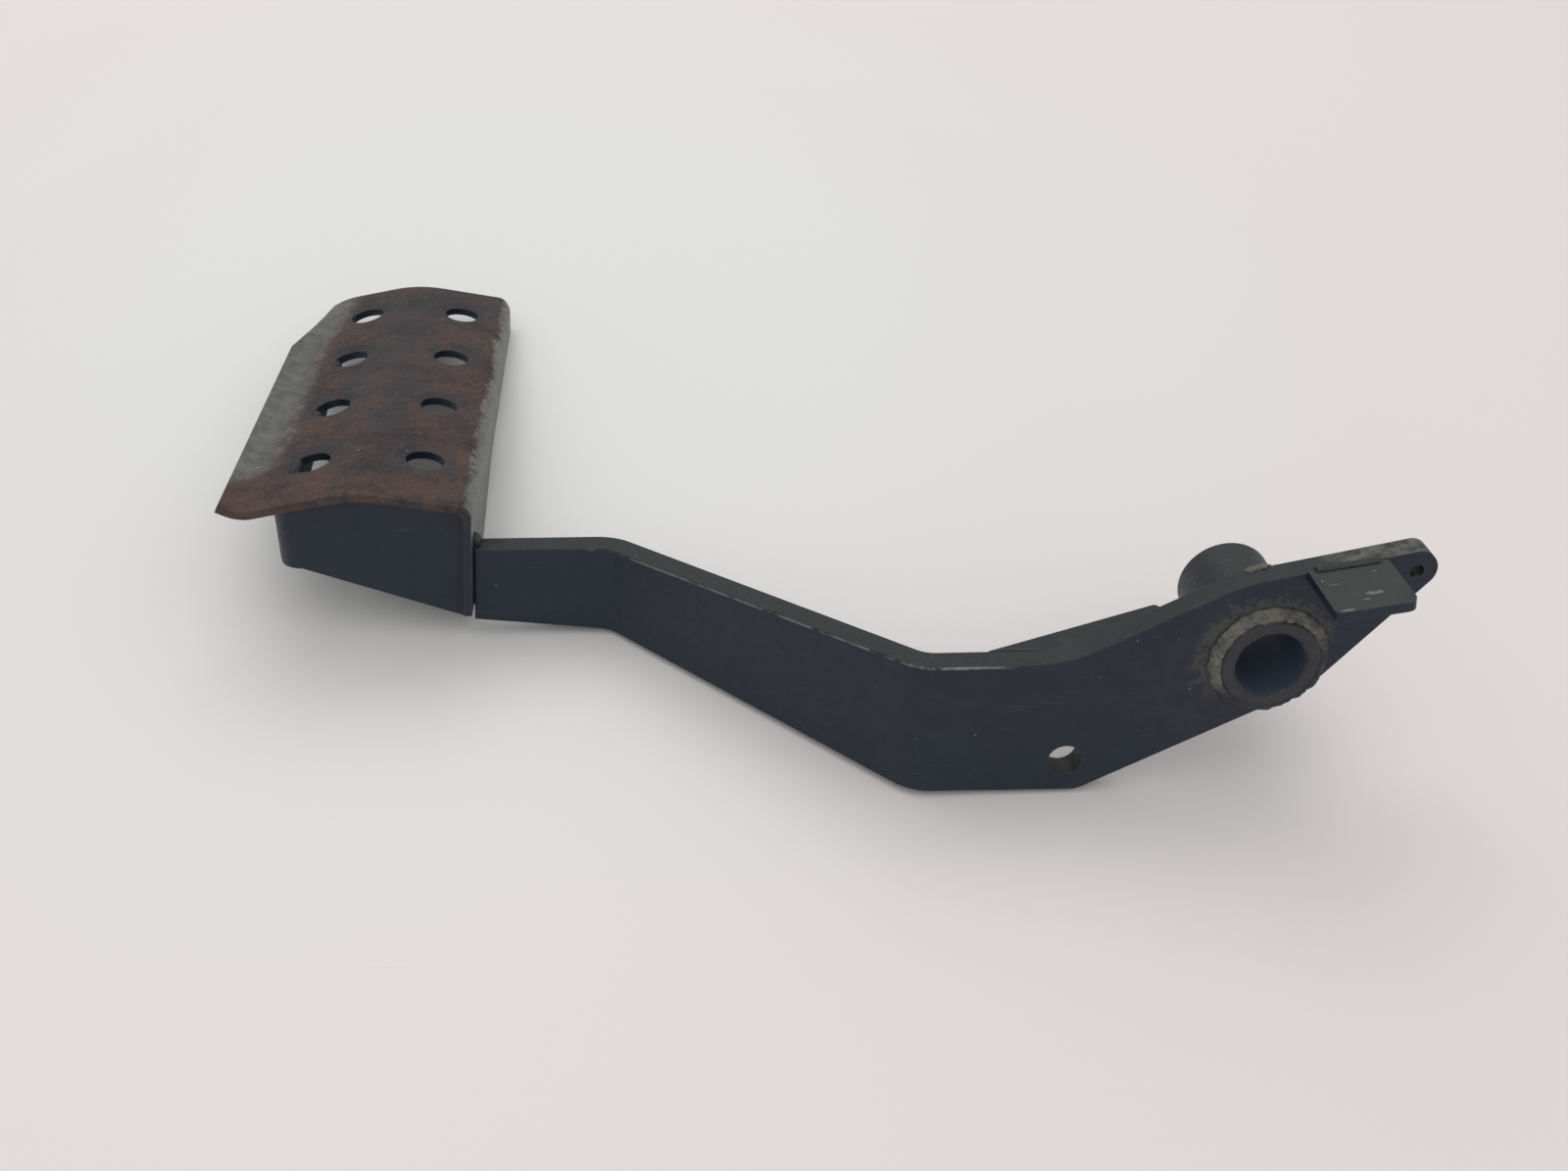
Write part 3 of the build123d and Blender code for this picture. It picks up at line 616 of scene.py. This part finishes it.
def make_weld(node_name, material, along, seed, pitch=2.6, ripple=0.16, lumps=0.45, swell=0.22):
    """A bead over a CAD weld: ripples along the run and lumps of spatter, all in millimetres."""
    mesh = remeshed(node_name, WELD_VOXEL * MM)
    offset = Vector((seed, seed * 1.7, -seed))
    normals = [vertex.normal.copy() for vertex in mesh.vertices]
    for vertex, normal in zip(mesh.vertices, normals):
        place = vertex.co / MM
        drift = noise.noise(place * 0.22 + offset) * 2.2
        wave = math.sin((along(vertex.co) / MM + drift) * 2 * math.pi / pitch)
        lump = noise.noise(place * 0.42 + offset) * 0.65 + noise.noise(place * 1.1 + offset) * 0.35
        vertex.co += normal * (swell + ripple * wave + lumps * lump) * MM
    mesh.update()
    piece = add_mesh_piece(node_name + "_bead", mesh, material)
    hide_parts(node_name)
    return piece


def make_ring_welds(dusty):
    """The dusty rings round the pivot tube, in front of the arm and behind it."""
    make_weld("pivot_weld_front", dusty, along_ring, 1.0, ripple=0.07, lumps=0.60)
    make_weld("pivot_weld_back", dusty, along_ring, 2.0, ripple=0.10, lumps=0.50)


def make_straight_welds(plain):
    """The painted beads, each with the direction that it runs in."""
    along_x = along_axis(0)
    along_y = along_axis(1)
    along_z = along_axis(2)
    make_weld("stop_tab_weld", plain, along_x, 3.0,
              pitch=2.0, ripple=0.05, lumps=0.2, swell=-0.25)
    make_weld("gusset_tube_weld", plain, along_y, 4.0)
    make_weld("gusset_arm_weld", plain, along_x, 5.0)
    make_weld("arm_pad_weld", plain, along_z, 6.0, swell=0.10, lumps=0.3)
    make_weld("bracket_flange_weld", plain, along_z, 7.0)
    make_weld("panel_pad_weld", plain, along_x, 8.0, swell=0.12, lumps=0.3)
    make_weld("leg_pad_weld", plain, along_y, 9.0, swell=0.12, lumps=0.3)


def make_welds():
    make_ring_welds(weld_material("dusty_weld", True, 3.0))
    make_straight_welds(weld_material("painted_weld", False, 8.0))


# --- crumbs of dried dirt -------------------------------------------------------------------------

def make_lump(name, centre, radii, material, seed, tilt=0.0):
    """A rough crumb: a divided sphere, squashed, turned about Y and roughened."""
    shape = bmesh.new()
    bmesh.ops.create_icosphere(shape, subdivisions=4, radius=1.0)
    turn = Matrix.Rotation(tilt, 3, "Y")
    offset = Vector((seed, -seed, seed * 0.5))
    for vertex in shape.verts:
        coarse = noise.noise(vertex.co * 1.6 + offset)
        fine = noise.noise(vertex.co * 4.5 + offset)
        rough = 1 + 0.30 * coarse + 0.18 * fine
        local = Vector([value * radius * rough for value, radius in zip(vertex.co, radii)])
        vertex.co = Vector(centre) + turn @ local * MM
    mesh = bpy.data.meshes.new(name)
    shape.to_mesh(mesh)
    shape.free()
    return add_mesh_piece(name, mesh, material)


def arm_top_at(x):
    """Highest point of the arm's edge near a place along X, in metres."""
    reach = 2.0 * MM
    vertices = nodes["lever_arm"].data.vertices
    edge = [vertex.co for vertex in vertices if vertex.co.x > GUSSET_HIGH.x - reach]
    below = max((co for co in edge if co.x <= x), key=lambda co: co.z)
    above = min((co for co in edge if co.x > x and co.z > below.z), key=lambda co: co.x, default=below)
    share = (x - below.x) / max(above.x - below.x, reach * 0.01)
    return below.z + share * (above.z - below.z)


def make_crumbs():
    """Dried dirt on the arm's upper edge beside the tube and near the tip."""
    dirt = weld_material("dried_dirt", True, 17.0)
    arm_back_y = GUSSET_LOW.y / MM
    for number, (x, in_front, radii) in enumerate(CRUMBS):
        centre = (x * MM, (arm_back_y - in_front) * MM, arm_top_at(x * MM))
        make_lump("dirt_crumb_%d" % number, centre, radii, dirt, 5.0 + number, ARM_RISE)


# --- table --------------------------------------------------------------------------------------

def centre_of_mass():
    """Centre of the CAD solids, all of one metal, from the signed volumes of their triangles."""
    total = 0.0
    moment = Vector((0, 0, 0))
    for node in nodes.values():
        mesh = node.data
        mesh.calc_loop_triangles()
        for triangle in mesh.loop_triangles:
            a, b, c = (mesh.vertices[index].co for index in triangle.vertices)
            volume = a.dot(b.cross(c)) / 6
            total += volume
            moment += volume * (a + b + c) / 4
    return moment / total


def resting_plane():
    """Upward normal and a point of the plane on which the object lies at rest."""
    hull = bmesh.new()
    for node in nodes.values():
        hull.from_mesh(node.data)
    made = bmesh.ops.convex_hull(hull, input=hull.verts)
    centre = centre_of_mass()
    best = None
    for face in [item for item in made["geom"] if isinstance(item, bmesh.types.BMFace)]:
        corners = [vertex.co.copy() for vertex in face.verts]
        normal = (corners[1] - corners[0]).cross(corners[2] - corners[0]).normalized()
        if (centre - corners[0]).dot(normal) < 0:
            normal.negate()
            corners.reverse()
        foot = centre - normal * (centre - corners[0]).dot(normal)
        turns = [(corners[i - 2] - corners[i]).cross(foot - corners[i]).dot(normal) for i in (0, 1, 2)]
        inside = all(turn >= 0 for turn in turns) or all(turn <= 0 for turn in turns)
        if inside and (best is None or normal.z > best[0].z):
            best = (normal, corners[0])
    hull.free()
    return best


def make_table():
    normal, point = resting_plane()
    bpy.ops.mesh.primitive_plane_add(size=6.0)
    table = bpy.context.object
    table.name = "table"
    tilt = normal.to_track_quat("Z", "Y").to_matrix().to_4x4()
    table.matrix_world = Matrix.Translation(point) @ tilt
    table.data.materials.append(table_material())


# --- light ----------------------------------------------------------------------------------------

def area_light(name, place, target, size, power):
    data = bpy.data.lights.new(name, "AREA")
    data.shape = "RECTANGLE"
    data.size, data.size_y = size
    data.energy = power
    light = bpy.data.objects.new(name, data)
    direction = Vector(target) - Vector(place)
    light.rotation_euler = direction.to_track_quat("-Z", "Y").to_euler()
    light.location = place
    bpy.context.collection.objects.link(light)


def make_light():
    """A room that is bright overhead and dimmer towards the horizon, and one soft lamp."""
    world = bpy.data.worlds.new("world")
    world.use_nodes = True
    tree = world.node_tree
    background = tree.nodes["Background"]
    background.inputs["Color"].default_value = (0.96, 0.98, 1.0, 1)
    direction = tree.nodes.new("ShaderNodeTexCoord")
    parts = tree.nodes.new("ShaderNodeSeparateXYZ")
    tree.links.new(direction.outputs["Generated"], parts.inputs[0])
    rise = tree.nodes.new("ShaderNodeMapRange")
    rise.interpolation_type = "SMOOTHSTEP"
    rise.inputs["From Min"].default_value = 0.15
    rise.inputs["From Max"].default_value = 0.95
    rise.inputs["To Min"].default_value = HORIZON_LIGHT
    rise.inputs["To Max"].default_value = ZENITH_LIGHT
    tree.links.new(parts.outputs[2], rise.inputs["Value"])
    front = tree.nodes.new("ShaderNodeMapRange")
    front.interpolation_type = "SMOOTHSTEP"
    front.inputs["From Min"].default_value = 0.2
    front.inputs["From Max"].default_value = -1.0
    front.inputs["To Max"].default_value = FRONT_LIGHT
    tree.links.new(parts.outputs[1], front.inputs["Value"])
    total = tree.nodes.new("ShaderNodeMath")
    tree.links.new(rise.outputs["Result"], total.inputs[0])
    tree.links.new(front.outputs["Result"], total.inputs[1])
    tree.links.new(total.outputs[0], background.inputs["Strength"])
    bpy.context.scene.world = world
    bpy.context.scene.view_settings.view_transform = "Standard"
    area_light("overhead", (-0.35, 0.55, 1.3), (-0.1, 0.1, 0), (1.3, 0.8), LAMP_POWER)


# --- assembly -------------------------------------------------------------------------------------

def dress_nodes():
    finishes = {
        "lever_arm": arm_material,
        "foot_pad": tread_material,
        "pad_bracket": bracket_material,
        "pivot_tube": tube_material,
        "gusset": gusset_material,
        "stop_tab": tab_material,
    }
    for name, make_material in finishes.items():
        mesh = nodes[name].data
        mesh.materials.clear()
        mesh.materials.append(make_material())


make_camera()
make_table()
make_light()
dress_nodes()
make_welds()
make_crumbs()
